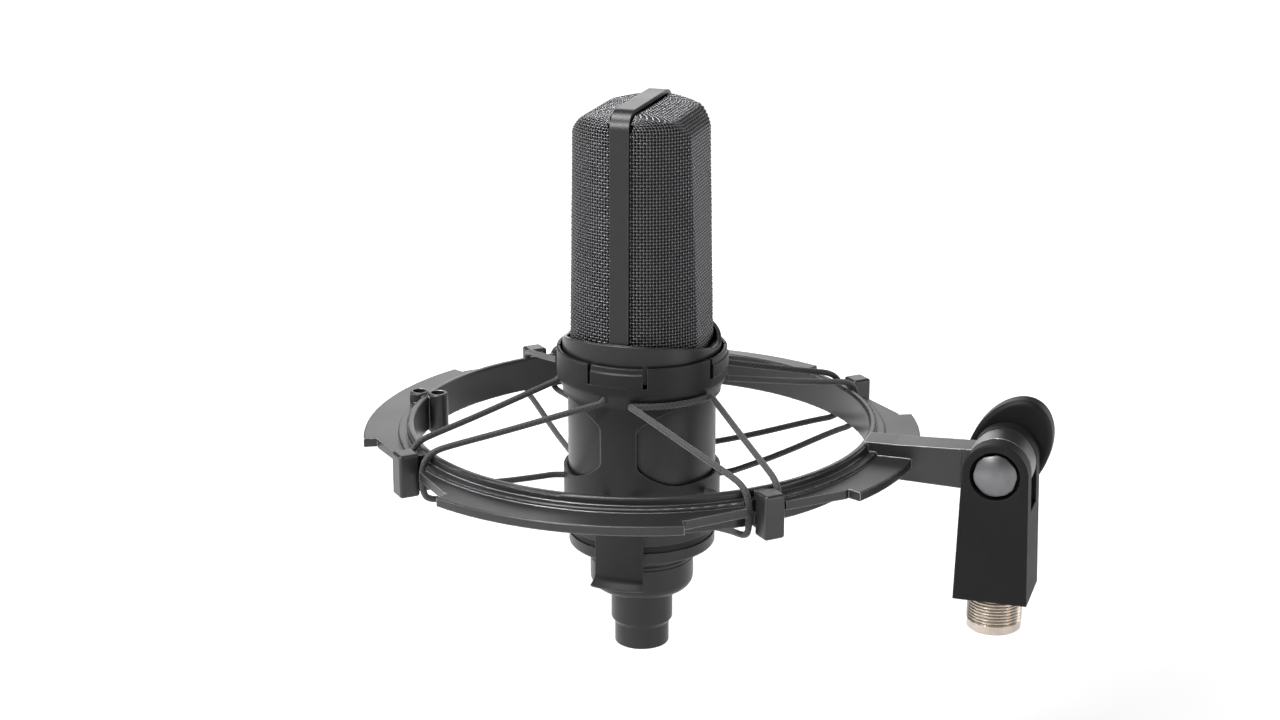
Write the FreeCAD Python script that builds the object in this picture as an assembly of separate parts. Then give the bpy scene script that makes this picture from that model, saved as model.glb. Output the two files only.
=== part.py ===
import FreeCAD, Part
import math
import os
from FreeCAD import Vector

# Side-address condenser microphone in an elastic shock mount with a swivel stand clamp. Millimetres.
# Origin: the mouth of the stand thread. +Z is up, +X runs from the microphone to the clamp and Y is
# the clamp's pivot. Heights named *_z in the suspension, cradle and microphone sections are measured
# from the top of the suspension ring's wall, on the microphone's axis.

# stand clamp
arm_length = 45.2           # the ring's bore to the pivot
pivot_rise = 43.3           # foot of the clevis to the pivot
rim_over_pivot = 4.4        # top of the ring's wall above the pivot
clevis_depth = 24.0         # along the pivot
clevis_head_radius = 10.7
clevis_foot_width = 24.0
clevis_edge = 0.6
slot_width = 11.0
slot_depth = 13.0           # below the pivot
slot_clearance = 0.3
bush_outer_radius = 9.0
bush_stickout = 12.7
bush_in_clevis = 10.0
stand_thread_minor_radius = 7.47
thread_pitch = 1.05
thread_depth = 0.45
plain_tip = 3.0
bolt_radius = 4.0
bolt_head_flats = 13.4
bolt_head_across = 13.9     # the hexagon's corners are turned down to this round
bolt_head_height = 4.5
bolt_head_turn = 14.0       # degrees
bolt_crown_radius = 15.8
bolt_rim_chamfer = 0.9
bolt_clearance = 0.1
running_clearance = 0.05
recess_radius = 8.1
recess_depth = 3.6
bolt_neck = 8.0
bolt_neck_gap = 0.9         # the square neck ends this far short of the slot
washer_thickness = 0.4
washer_radius = 9.5
knob_washer_radius = 8.5
knob_washer_thickness = 1.2
knob_gap = 0.3
knob_long_radius = 18.7
knob_short_radius = 12.7
knob_angle = 62.7
knob_thickness = 7.5
knob_edge = 1.6
insert_radius = 6.0
insert_length = 5.6
arm_width = 9.9
arm_drop_at_ring = 10.9     # underside below the rim
arm_drop_at_eye = 12.4
arm_top_at_ring = 0.6       # above the rim
arm_top_at_eye = 1.8
eye_radius = 10.6
pivot_bush_radius = 5.5

# suspension ring
ring_inner_radius = 76.0
wall_thickness = 2.7
wall_height = 12.0
ledge_out = 2.9             # this and the other *_out sizes are measured out from the wall's outside
ledge_z = -2.6
flange_top_z = -3.8
flange_thickness = 3.0
flange_out = 14.4
flange_sector_half = 25.5   # degrees either side of each axis
narrow_flange_out = 9.8
narrow_flange_tip_out = 4.7
lug_angles = (-45.0, -135.0, 135.0, 45.0)
lug_inner_out = 3.2
lug_outer_out = 10.0
lug_block_width = 7.0
lug_top_z = 0.8
lug_below_wall = 1.6
lug_neck_width = 3.4
lug_edge = 0.9
cord_notch_half = 6.9
cord_notch_out = 1.6
tube_outer_radius = 3.45
tube_bore_radius = 2.4
tube_offset_out = 3.15      # from the middle of the wall
tube_offset_in = 3.6
tube_top_z = 0.8
tube_below_wall = 1.2
tube_edge = 0.7

# elastic loops
cord_radius = 1.05
cord_clearance = 0.2
side_hole_angle = 9.0       # from the Y axis
end_hole_angle = 19.5       # from the X axis
upper_hole_z = 12.75
pocket_run_z = 16.0
lower_hole_z = -20.9
rim_hop = 1.9               # cord's centre above the rim as it crosses
cord_out = 3.2              # its centre outside the wall as it passes down
cord_side = 5.4             # to either side of the lug
cord_bend = 2.5
hole_bend = 1.7             # tightest turn, at a hole in the sleeve

# cradle
pocket_clearance = 0.3      # room for the cord between the body and the collar
collar_wall = 1.2
collar_top_z = 25.1
collar_foot_z = 15.4
pocket_floor_z = 14.6
sleeve_gap = 0.4            # between the sleeve and the microphone's body
sleeve_top_z = 11.2
sleeve_wall = 1.2
sleeve_bottom_z = -27.0
tab_half_angle = 18.0
tab_slot_angle = 3.0
tab_slot_z = 18.3
tab_lip = 0.5
window_half_angle = 76.0
window_top_z = 10.0
window_bottom_z = -16.8
window_corner = 11.0
tongue_half_angle = 18.5
tongue_gap = 0.35
tongue_top_z = -24.2
tongue_foot_z = -50.0
tongue_lip = 2.8
grip_pad_thickness = 0.35
grip_pad_half_angle = 7.0

# microphone
body_radius = 24.8
body_wall = 1.9
body_bottom_z = -37.6
band_proud = 1.6
band_foot_z = 17.8
band_step = 1.2
band_dip_z = 26.4
band_rise = 5.9             # the band's top edge is this much higher at the sides than in front
dip_round = 22.0
grille_seat_gap = 0.15      # the band's bore outside the body's radius
grille_seat_z = 22.0
grille_foot_in = 0.7        # this and the other *_in sizes are measured in from the body's radius
grille_mid_in = 1.2
grille_top_in = 1.6
grille_mid_z = 60.0
grille_top_z = 107.0
grille_shoulder_drop = 11.0  # the *_drop sizes are measured down from the grille's top
grille_roll = 6.0
facet_foot_in = 2.4
facet_top_in = 4.6
facet_shoulder_drop = 7.5
roof_edge_in = 8.8
roof_edge_drop = 2.8
mesh_thickness = 0.9
screen_gap = 0.5
screen_thickness = 0.4
strap_width = 6.4
strap_thickness = 0.8
seat_ring_height = 3.0
seat_ring_thickness = 2.0
spigot_thickness = 1.0
seat_ring_bore_in = 6.8
shelf_below_dip = 0.5
base_ring_bottom_z = -44.2
base_ring_edge = 1.3
tail_in = 7.2
tail_top_z = -43.0
tail_bottom_z = -60.8
tail_round = 4.5
tail_wall = 1.8
tail_groove_depth = 0.35
tail_groove_width = 0.6
tail_grooves_z = (-47.9, -49.3)
barrel_upper_radius = 10.5
barrel_lower_radius = 9.26
barrel_step_z = -72.3
barrel_step = 1.7
barrel_end_z = -81.5
barrel_bore_radius = 7.9
barrel_root_z = -56.0
barrel_flange = 1.0
pin_insert_face_z = -69.0
pin_radius = 1.2
pin_tip_z = -79.6
pin_root_z = -54.0
pin_spread = 3.7
pin_row = 1.0
pin_low = -2.8
capsule_in = 7.8
capsule_thickness = 8.0
capsule_drop = 33.0
capsule_rim_width = 4.0
diaphragm_thickness = 0.4
diaphragm_inset = 0.8
saddle_height = 9.0
saddle_width = 15.0
saddle_depth = 11.0
saddle_wrap = 3.0
post_radius = 5.0
board_edge_in = 9.8
board_thickness = 1.6
board_top_z = 16.0
board_bottom_z = -34.0
rail_width = 4.0
rail_thickness = 2.5
rail_bottom_z = -40.0
chassis_plate = 2.5
chassis_foot_in = 10.2
chassis_head_in = 3.3
switch_angle = 14.0
switch_z = -9.3
switch_travel = 2.6
nub_width = 2.8
nub_height = 3.0
nub_proud = 0.1
nub_gap = 0.3
switch_case_depth = 4.0
screw_radius = 1.0
screw_head_radius = 1.9
screw_head_height = 1.4
screw_circle_in = 5.6
screw_angles = (50.0, 130.0, 230.0, 310.0)

# worked out from the sizes above
pivot_z = bush_stickout + pivot_rise
rim_z = pivot_z + rim_over_pivot
arm_reach = ring_inner_radius + arm_length      # pivot to the microphone's axis
wall_outer = ring_inner_radius + wall_thickness
ledge_radius = wall_outer + ledge_out
flange_radius = wall_outer + flange_out
narrow_flange_radius = wall_outer + narrow_flange_out
narrow_flange_tip_radius = wall_outer + narrow_flange_tip_out
lug_bottom_z = -wall_height - lug_below_wall
tube_bottom_z = -wall_height - tube_below_wall
band_radius = body_radius + band_proud
sleeve_radius = body_radius + sleeve_gap + sleeve_wall
collar_radius = body_radius + 2 * cord_radius + pocket_clearance + collar_wall
grille_seat_radius = body_radius + grille_seat_gap
grille_foot_radius = body_radius - grille_foot_in
grille_mid_radius = body_radius - grille_mid_in
grille_top_radius = body_radius - grille_top_in
grille_shoulder_z = grille_top_z - grille_shoulder_drop
facet_foot_x = body_radius - facet_foot_in
facet_top_x = body_radius - facet_top_in
facet_shoulder_z = grille_top_z - facet_shoulder_drop
roof_edge_x = body_radius - roof_edge_in
roof_edge_z = grille_top_z - roof_edge_drop
seat_ring_bore = body_radius - seat_ring_bore_in
tail_radius = body_radius - tail_in
capsule_radius = body_radius - capsule_in
capsule_bore_radius = capsule_radius - capsule_rim_width
capsule_z = grille_top_z - capsule_drop
board_width = 2 * (body_radius - board_edge_in)
screw_circle = body_radius - screw_circle_in
slot_half = slot_width / 2
clevis_half = clevis_depth / 2
flange_bottom_z = flange_top_z - flange_thickness
eye_half = slot_half - washer_thickness - slot_clearance
knob_face_y = clevis_half + knob_washer_thickness + knob_gap
mic_place = Vector(-arm_reach, 0, rim_z)
full = 400.0

os.makedirs("parts", exist_ok=True)


def write(name, shape, at_mic=True):
    """Write one sub-part, moved from the microphone's axis to its place."""
    if at_mic:
        shape = shape.translated(mic_place)
    solids = shape.Solids
    if len(solids) == 1:
        shape = solids[0]
    else:
        shape = Part.makeCompound(solids)
    if not shape.isValid():
        print("NOT VALID", name)
    print(name, len(solids), round(shape.Volume, 1))
    shape.exportStep("parts/" + name + ".step")


def corner_path(points, closed=True):
    """Edges through the points, each (Vector, corner radius), with tangent arcs at the corners."""
    count = len(points)
    starts = []
    ends = []
    arcs = []
    for i in range(count):
        here, radius = points[i]
        if radius <= 0 or (not closed and i in (0, count - 1)):
            starts.append(here)
            ends.append(here)
            arcs.append(None)
            continue
        back = (points[i - 1][0] - here).normalize()
        ahead = (points[(i + 1) % count][0] - here).normalize()
        half = back.getAngle(ahead) / 2
        reach = radius / math.tan(half)
        bisector = (back + ahead).normalize()
        centre = here + bisector * (radius / math.sin(half))
        starts.append(here + back * reach)
        ends.append(here + ahead * reach)
        arcs.append(centre - bisector * radius)
    edges = []
    for i in range(count):
        if arcs[i] is not None:
            edges.append(Part.Arc(starts[i], arcs[i], ends[i]).toShape())
        if i < count - 1 or closed:
            a = ends[i]
            b = starts[(i + 1) % count]
            if (b - a).Length > 1e-5:
                edges.append(Part.LineSegment(a, b).toShape())
    return Part.Wire(edges)


def turned(points):
    """Solid of revolution about Z from (radius, height, corner radius) points."""
    wire = corner_path([(Vector(r, 0, z), c) for r, z, c in points])
    return Part.Face(wire).revolve(Vector(0, 0, 0), Vector(0, 0, 1), 360)


def slab_y(points, y0, y1):
    """Prism along Y from (x, z, corner radius) points."""
    wire = corner_path([(Vector(x, y0, z), c) for x, z, c in points])
    return Part.Face(wire).extrude(Vector(0, y1 - y0, 0))


def slab_x(points, x0, x1):
    """Prism along X from (y, z, corner radius) points."""
    wire = corner_path([(Vector(x0, y, z), c) for y, z, c in points])
    return Part.Face(wire).extrude(Vector(x1 - x0, 0, 0))


def slab_z(points, z0, z1):
    """Prism along Z from (x, y, corner radius) points."""
    wire = corner_path([(Vector(x, y, z0), c) for x, y, c in points])
    return Part.Face(wire).extrude(Vector(0, 0, z1 - z0))


def rod_z(radius, z0, z1, x=0.0, y=0.0):
    return Part.makeCylinder(radius, z1 - z0, Vector(x, y, z0))


def tube_z(outer, inner, z0, z1):
    return rod_z(outer, z0, z1).cut(rod_z(inner, z0 - 1, z1 + 1))


def rod_y(radius, y0, y1, x=0.0, z=0.0):
    return Part.makeCylinder(radius, y1 - y0, Vector(x, y0, z), Vector(0, 1, 0))


def rod_x(radius, x0, x1, y=0.0, z=0.0):
    return Part.makeCylinder(radius, x1 - x0, Vector(x0, y, z), Vector(1, 0, 0))


def box(x0, x1, y0, y1, z0, z1):
    return Part.makeBox(x1 - x0, y1 - y0, z1 - z0, Vector(x0, y0, z0))


def polar(radius, degrees, z=0.0):
    a = math.radians(degrees)
    return Vector(radius * math.cos(a), radius * math.sin(a), z)


def spun(shape, degrees):
    copy = shape.copy()
    copy.rotate(Vector(0, 0, 0), Vector(0, 0, 1), degrees)
    return copy


def wedge(half_angle, z0, z1, centre=0.0):
    """A wide pie slice about Z."""
    a = Vector(0, 0, z0)
    b = polar(full, centre - half_angle, z0)
    c = polar(full, centre + half_angle, z0)
    return Part.Face(Part.makePolygon([a, b, c, a])).extrude(Vector(0, 0, z1 - z0))


def at_pivot(shape):
    """From the pivot's own frame to the stand thread's."""
    return shape.translated(Vector(0, 0, pivot_z))


# ---- stand clamp, drawn about the pivot ----

def make_clevis():
    foot = -pivot_rise
    half_foot = clevis_foot_width / 2
    r = clevis_head_radius
    side = slab_y([(-half_foot, foot, 0), (half_foot, foot, 0), (r, 0, 0), (-r, 0, 0)],
                  -clevis_half, clevis_half)
    block = side.fuse(rod_y(r, -clevis_half, clevis_half)).removeSplitter()
    front_and_back = [e for e in block.Edges
                      if abs(abs(e.CenterOfMass.y) - clevis_half) < 1e-3 and e.BoundBox.YLength < 1e-3]
    block = block.makeFillet(clevis_edge, front_and_back)
    block = block.cut(box(-full, full, -slot_half, slot_half, -slot_depth, full))
    block = block.cut(rod_y(recess_radius, -clevis_half - 1, -clevis_half + recess_depth))
    neck = bolt_neck / 2 + bolt_clearance
    block = block.cut(box(-neck, neck, -clevis_half, -slot_half - bolt_neck_gap + 0.2, -neck, neck))
    block = block.cut(rod_y(bolt_radius + bolt_clearance, -full, full))
    block = block.cut(rod_z(bush_outer_radius, foot - 1, foot + bush_in_clevis))
    return at_pivot(block)


def make_thread_bush():
    low = -bush_stickout
    points = [(stand_thread_minor_radius, low, 0), (bush_outer_radius - 0.7, low, 0),
              (bush_outer_radius - thread_depth * 0.4, low + 0.5, 0),
              (bush_outer_radius - thread_depth * 0.4, low + plain_tip, 0)]
    ridges = int((bush_stickout - plain_tip - 0.8) / thread_pitch)
    z = low + plain_tip
    for _ in range(ridges):
        points.append((bush_outer_radius - thread_depth, z + thread_pitch * 0.15, 0))
        points.append((bush_outer_radius, z + thread_pitch * 0.5, 0))
        points.append((bush_outer_radius - thread_depth, z + thread_pitch * 0.85, 0))
        z += thread_pitch
    points.append((bush_outer_radius - thread_depth, 0, 0))
    points.append((bush_outer_radius, 0, 0))
    points.append((bush_outer_radius, bush_in_clevis, 0))
    points.append((stand_thread_minor_radius, bush_in_clevis, 0))
    return turned(points).translated(Vector(0, 0, bush_stickout))


def make_pivot_bolt():
    seat = -clevis_half + recess_depth
    across = bolt_head_flats / math.cos(math.radians(30)) / 2
    corners = [polar(across, 60 * i + bolt_head_turn) for i in range(6)]
    face = Part.Face(Part.makePolygon([Vector(c.x, seat, c.y) for c in corners + corners[:1]]))
    head = face.extrude(Vector(0, -bolt_head_height, 0))
    top = seat - bolt_head_height
    crown = Part.makeSphere(bolt_crown_radius, Vector(0, top + bolt_crown_radius, 0))
    rim_radius = bolt_head_across / 2 - bolt_rim_chamfer
    rim = Part.makeCone(rim_radius, rim_radius + bolt_head_height, bolt_head_height,
                        Vector(0, top, 0), Vector(0, 1, 0))
    head = head.common(crown).common(rim).common(rod_y(bolt_head_across / 2, top, seat))
    neck = bolt_neck / 2
    square = box(-neck, neck, seat - 0.5, -slot_half - bolt_neck_gap, -neck, neck)
    shank = rod_y(bolt_radius, seat - 0.5, knob_face_y + insert_length - 0.6)
    return at_pivot(head.fuse(square).fuse(shank).removeSplitter())


def make_friction_washers():
    bore = bolt_radius + bolt_clearance
    near = rod_y(washer_radius, -slot_half, -slot_half + washer_thickness)
    far = rod_y(washer_radius, slot_half - washer_thickness, slot_half)
    return at_pivot(near.fuse(far).cut(rod_y(bore, -full, full)))


def make_knob_washer():
    bore = rod_y(bolt_radius + bolt_clearance, -full, full)
    return at_pivot(rod_y(knob_washer_radius, clevis_half, clevis_half + knob_washer_thickness).cut(bore))


def make_clamp_knob():
    """An oval thumb paddle with rolled edges."""
    oval = Part.Ellipse(Vector(0, 0, 0), knob_long_radius, knob_short_radius).toShape()
    body = Part.Face(Part.Wire(oval)).extrude(Vector(0, 0, knob_thickness))
    rims = [e for e in body.Edges if e.BoundBox.ZLength < 1e-3]
    body = body.makeFillet(knob_edge, rims)
    body.rotate(Vector(0, 0, 0), Vector(1, 0, 0), 90)
    body = body.translated(Vector(0, knob_face_y + knob_thickness, 0))
    body.rotate(Vector(0, 0, 0), Vector(0, 1, 0), -knob_angle)
    body = body.cut(rod_y(insert_radius, knob_face_y - 1, knob_face_y + insert_length))
    return at_pivot(body)


def make_knob_insert():
    sleeve = rod_y(insert_radius, knob_face_y, knob_face_y + insert_length)
    return at_pivot(sleeve.cut(rod_y(bolt_radius + running_clearance, -full, full)))


# ---- suspension ring with its arm, drawn about the microphone's axis ----

def make_ring_wall():
    r0 = ring_inner_radius
    r1 = wall_outer
    foot = -wall_height
    return turned([(r0, foot, 0.5), (r0, 0, 0.9), (r1, 0, 0.9), (r1, ledge_z, 0),
                   (ledge_radius, ledge_z, 0.55), (ledge_radius, flange_bottom_z, 0),
                   (r1 + 1.2, flange_bottom_z, 0), (r1, flange_bottom_z - 1.6, 0), (r1, foot, 0.5)])


def make_flange():
    """One quarter of the flange: a wide sector, with a narrow wing on each side tapering to the lugs."""
    half = flange_sector_half
    tip = 45.0 - math.degrees(math.asin(lug_neck_width / 2 / narrow_flange_tip_radius))
    inner = wall_outer - 0.5
    low = flange_bottom_z
    ring = turned([(inner, low, 0), (flange_radius, low, 0.3), (flange_radius, flange_top_z, 0.5),
                   (inner, flange_top_z, 0)])
    quarter = ring.common(wedge(half, -full, full))
    for side in (-1, 1):
        corners = [polar(inner, side * (half - 1)), polar(narrow_flange_radius, side * (half - 1)),
                   polar(narrow_flange_radius, side * (half + 0.9)),
                   polar(narrow_flange_tip_radius, side * tip), polar(inner, side * tip)]
        quarter = quarter.fuse(slab_z([(c.x, c.y, 0) for c in corners], low, flange_top_z))
    return quarter


def make_lug(angle):
    half = lug_block_width / 2
    block = box(wall_outer + lug_inner_out, wall_outer + lug_outer_out, -half, half, lug_bottom_z, lug_top_z)
    block = block.makeFillet(lug_edge, block.Edges)
    neck = box(wall_outer - 1.5, wall_outer + lug_inner_out + 2, -lug_neck_width / 2, lug_neck_width / 2,
               lug_bottom_z + 1.2, lug_top_z - 1.2)
    return spun(block.fuse(neck), angle)


def cord_notches(angle):
    """Room either side of a lug's neck for the elastic to pass down outside the wall."""
    low = flange_bottom_z - 1
    slot = box(wall_outer + cord_notch_out, full, -cord_notch_half, cord_notch_half, low, 1)
    return spun(slot, angle)


def make_arm():
    """The arm from the ring's wall to the eye round the pivot."""
    x0 = ring_inner_radius + wall_thickness * 0.45
    x1 = arm_reach
    half = arm_width / 2
    bar = slab_y([(x0, -arm_drop_at_ring, 0), (x1, -arm_drop_at_eye, 0), (x1, arm_top_at_eye, 0),
                  (x0 + 10, arm_top_at_ring, 0), (x0, arm_top_at_ring, 0)], -half, half)
    bar = bar.common(rod_z(arm_reach - clevis_head_radius - 1.2, -full, full)
                     .fuse(box(0, full, -eye_half, eye_half, -full, full)))
    eye = rod_y(eye_radius, -eye_half, eye_half, arm_reach, -rim_over_pivot)
    return bar.fuse(eye)


def make_suspension_ring():
    ring = make_ring_wall()
    for quarter in range(4):
        ring = ring.fuse(spun(make_flange(), 90 * quarter))
    for angle in lug_angles:
        ring = ring.cut(cord_notches(angle))
    for angle in lug_angles:
        ring = ring.fuse(make_lug(angle))
    middle = ring_inner_radius + wall_thickness / 2
    seats = [middle + tube_offset_out, middle - tube_offset_in]
    for x in seats:
        post = rod_z(tube_outer_radius, tube_bottom_z, tube_top_z, -x)
        post = post.makeFillet(tube_edge, [e for e in post.Edges if e.BoundBox.ZLength < 1e-3])
        ring = ring.fuse(post)
    arm = make_arm()
    ring = ring.fuse(arm)
    for x in seats:
        ring = ring.cut(rod_z(tube_bore_radius, tube_bottom_z + 1.5, tube_top_z + 1, -x))
    ring = ring.cut(rod_y(pivot_bush_radius, -full, full, arm_reach, -rim_over_pivot))
    return ring.removeSplitter()


def make_pivot_bush():
    sleeve = rod_y(pivot_bush_radius, -eye_half, eye_half, arm_reach, -rim_over_pivot)
    return sleeve.cut(rod_y(bolt_radius + running_clearance, -full, full, arm_reach, -rim_over_pivot))


# ---- elastic loops ----

def lug_point(lug, out, side, z):
    """A point in the lug's own directions: outward, sideways and up."""
    a = math.radians(lug)
    return Vector(out * math.cos(a) - side * math.sin(a), out * math.sin(a) + side * math.cos(a), z)


def hole_angles(lug):
    """The angles of a loop's two holes in the sleeve: the one by the X axis, then the one by Y."""
    x_side = 0.0 if abs(lug) < 90 else math.copysign(180.0, lug)
    y_side = math.copysign(90.0, lug)
    toward_lug = math.copysign(1.0, lug - x_side)
    return x_side + toward_lug * end_hole_angle, y_side - toward_lug * side_hole_angle


def strand(lug, hole):
    """One side of a loop, from its lower hole round the ring to its upper hole."""
    side = math.copysign(1.0, hole - lug)
    under = -wall_height - cord_radius
    crest = rim_hop
    outside = wall_outer + cord_out
    return [(polar(sleeve_radius - sleeve_wall + 0.02, hole, lower_hole_z), 0),
            (polar(sleeve_radius + 2.6, hole, lower_hole_z), 2.0),
            (lug_point(lug, ring_inner_radius - 6.0, side * 7.0, under - 1.6), 40.0),
            (lug_point(lug, outside - 2.1, side * 5.5, under - 1.5), 2.2),
            (lug_point(lug, outside, side * cord_side, under + 1.45), 2.4),
            (lug_point(lug, outside, side * cord_side, flange_top_z + 1.2), cord_bend),
            (lug_point(lug, wall_outer - 0.1, side * 5.7, crest - 0.2), 3.6),
            (lug_point(lug, ring_inner_radius - 10.0, side * 7.4, crest + 2.5), 45.0),
            (polar(collar_radius - 0.2, hole, upper_hole_z), hole_bend)]


def loop_path(lug):
    """The whole loop: both strands joined by a run round the cradle."""
    first_hole, second_hole = hole_angles(lug)
    first = strand(lug, first_hole)
    second = strand(lug, second_hole)
    outside = lug == lug_angles[0]
    run_radius = sleeve_radius + 1.75 if outside else collar_radius - collar_wall - cord_radius - 0.1
    run_z = upper_hole_z - 0.4 if outside else pocket_run_z
    run = []
    steps = 6
    for i in range(steps + 1):
        angle = first_hole + (second_hole - first_hole) * i / steps
        bend = hole_bend if i in (0, steps) else 15.0
        run.append((polar(run_radius, angle, run_z), bend))
    if outside:
        return first[:-1] + run + list(reversed(second[:-1]))
    return first + run + list(reversed(second))


def make_cord(path, radius):
    spine = corner_path(path, closed=False)
    start = path[0][0]
    ahead = (path[1][0] - start).normalize()
    ring = Part.Wire(Part.Circle(start, ahead, radius).toShape())
    tube = spine.makePipeShell([ring], True, False)
    return tube


# ---- cradle ----

def make_sleeve_blank():
    r_in = sleeve_radius - sleeve_wall
    pocket = collar_radius - collar_wall
    return turned([(r_in, sleeve_bottom_z, 0), (sleeve_radius, sleeve_bottom_z, 0.4),
                   (sleeve_radius, sleeve_top_z, 4.0), (collar_radius, collar_foot_z, 3.0),
                   (collar_radius, collar_top_z, 0.4), (pocket, collar_top_z, 0.3),
                   (pocket, pocket_floor_z, 0), (r_in, pocket_floor_z - 0.6, 0)])


def window_cutter(centre):
    """A rounded window through the sleeve's wall, worked out on the unrolled wall."""
    half = sleeve_radius * math.radians(window_half_angle)
    top = window_top_z
    low = window_bottom_z
    deep = math.sin(math.radians(window_half_angle)) * sleeve_radius
    edge_inset = window_corner * deep / half
    pillar = slab_x([(-deep, low, 0), (deep, low, 0), (deep, top, 0), (-deep, top, 0)], 0, full)
    rounding = slab_x([(-deep, low, edge_inset), (deep, low, edge_inset),
                       (deep, top, edge_inset), (-deep, top, edge_inset)], 0, full)
    return spun(pillar.common(rounding), centre)


def make_cradle_sleeve(cords):
    body = make_sleeve_blank()
    for centre in (0, 180):
        body = body.cut(window_cutter(centre))
    lips = []
    for centre in (0, 90, 180, 270):
        for side in (-1, 1):
            slot = wedge(tab_slot_angle / 2, tab_slot_z, full, centre + side * (tab_half_angle + tab_slot_angle / 2))
            body = body.cut(slot)
        lip = turned([(collar_radius - 0.3, collar_top_z - 1.6, 0), (collar_radius + tab_lip, collar_top_z - 2.2, 0.2),
                      (collar_radius + tab_lip, tab_slot_z + 0.4, 0.3), (collar_radius - 0.3, tab_slot_z - 0.2, 0)])
        lips.append(lip.common(wedge(tab_half_angle, -full, full, centre)))
    for lip in lips:
        body = body.fuse(lip)
    body = body.cut(wedge(tongue_half_angle + 0.8, -full, tongue_top_z + tongue_gap, -90))
    for fat in cords:
        body = body.cut(fat)
    return body.removeSplitter()


def make_tongue():
    r_in = sleeve_radius - sleeve_wall
    blank = turned([(r_in, tongue_top_z, 0), (r_in, tongue_foot_z, 1.2),
                    (sleeve_radius + tongue_lip - 0.7, tongue_foot_z - 2.4, 0),
                    (sleeve_radius + tongue_lip, tongue_foot_z - 1.6, 0),
                    (sleeve_radius, tongue_foot_z + 0.7, 2.5), (sleeve_radius, tongue_top_z, 0.3)])
    return blank.common(wedge(tongue_half_angle, -full, full, -90))


def make_grip_pads():
    """Thin rubber strips on the inside of the two pillars, behind the windows' edges."""
    r_in = sleeve_radius - sleeve_wall
    ring = tube_z(r_in, r_in - grip_pad_thickness, window_bottom_z + 2, window_top_z - 2)
    near = ring.common(wedge(grip_pad_half_angle, -full, full, -90))
    far = ring.common(wedge(grip_pad_half_angle, -full, full, 90))
    return near.fuse(far)


# ---- microphone ----

def dip_profile(low, rise):
    """Everything below the band's dipped top edge, seen along X."""
    w = band_radius + 2
    slope = band_rise / band_radius
    top = low + slope * w + rise
    return slab_x([(-w, -full, 0), (w, -full, 0), (w, top, 0), (0, low + rise, dip_round), (-w, top, 0)],
                  -full, full)


def make_body_shell():
    r_in = body_radius - body_wall
    blank = turned([(r_in, body_bottom_z, 0), (body_radius, body_bottom_z, 0), (body_radius, band_foot_z, 0.8),
                    (band_radius, band_foot_z + band_step, 0.8), (band_radius, band_dip_z + band_rise + 3, 0),
                    (grille_seat_radius, band_dip_z + band_rise + 3, 0), (grille_seat_radius, grille_seat_z, 0),
                    (r_in, grille_seat_z, 0)])
    shell = blank.common(dip_profile(band_dip_z, 0))
    bevel = tube_z(full, band_radius - 0.5, -full, full).common(
        dip_profile(band_dip_z, 100).cut(dip_profile(band_dip_z, -0.45)))
    shell = shell.cut(bevel)
    for side in (-1, 1):
        pocket = box(body_radius - 7, full, -nub_width / 2 - nub_gap, nub_width / 2 + nub_gap,
                     switch_z - nub_height / 2 - nub_gap, switch_z + nub_height / 2 + switch_travel + nub_gap)
        shell = shell.cut(spun(pocket, 180 + side * switch_angle))
    return shell


def make_base_ring():
    low = base_ring_bottom_z
    neck = tail_radius + 0.4
    return turned([(neck, body_bottom_z - 2.5, 0), (body_radius, body_bottom_z - 2.5, 0),
                   (body_radius, low, base_ring_edge), (body_radius - 4.5, low - 0.9, 0),
                   (body_radius - 5.2, low - 0.2, 0), (tail_radius + 0.05, low - 0.2, 0),
                   (tail_radius + 0.05, tail_top_z + 1.0, 0), (neck, tail_top_z + 1.0, 0)])


def make_base_seam():
    """The ring the lower cap screws on to, with a shadow groove below the body."""
    return turned([(body_radius - body_wall - 2.2, body_bottom_z - 2.5, 0),
                   (body_radius - 0.5, body_bottom_z - 2.5, 0), (body_radius - 0.5, body_bottom_z, 0),
                   (body_radius - body_wall - 0.1, body_bottom_z, 0),
                   (body_radius - body_wall - 0.1, body_bottom_z + 3, 0),
                   (body_radius - body_wall - 2.2, body_bottom_z + 3, 0)])


def make_tail_cup():
    points = [(tail_radius - tail_wall, tail_top_z, 0), (tail_radius, tail_top_z, 0)]
    for z in tail_grooves_z:
        points.append((tail_radius, z + tail_groove_width / 2, 0))
        points.append((tail_radius - tail_groove_depth, z + tail_groove_width / 4, 0))
        points.append((tail_radius - tail_groove_depth, z - tail_groove_width / 4, 0))
        points.append((tail_radius, z - tail_groove_width / 2, 0))
    points += [(tail_radius, tail_bottom_z, tail_round), (barrel_upper_radius, tail_bottom_z, 0),
               (barrel_upper_radius, tail_bottom_z + 2.2, 0),
               (tail_radius - tail_wall, tail_bottom_z + 2.2, tail_round - tail_wall)]
    return turned(points)


def make_connector_barrel():
    flange = tail_bottom_z + 2.2
    return turned([(barrel_bore_radius, barrel_end_z, 0.3), (barrel_lower_radius, barrel_end_z, 0.5),
                   (barrel_lower_radius, barrel_step_z - barrel_step, 0),
                   (barrel_upper_radius, barrel_step_z, 0.4), (barrel_upper_radius, flange, 0),
                   (barrel_upper_radius + barrel_flange, flange, 0),
                   (barrel_upper_radius + barrel_flange, flange + 1.5, 0),
                   (barrel_upper_radius - 1, flange + 1.5, 0), (barrel_upper_radius - 1, barrel_root_z, 0),
                   (barrel_bore_radius, barrel_root_z, 0)])


def pin_places():
    return [(pin_row, -pin_spread), (pin_row, pin_spread), (pin_low, 0.0)]


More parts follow.
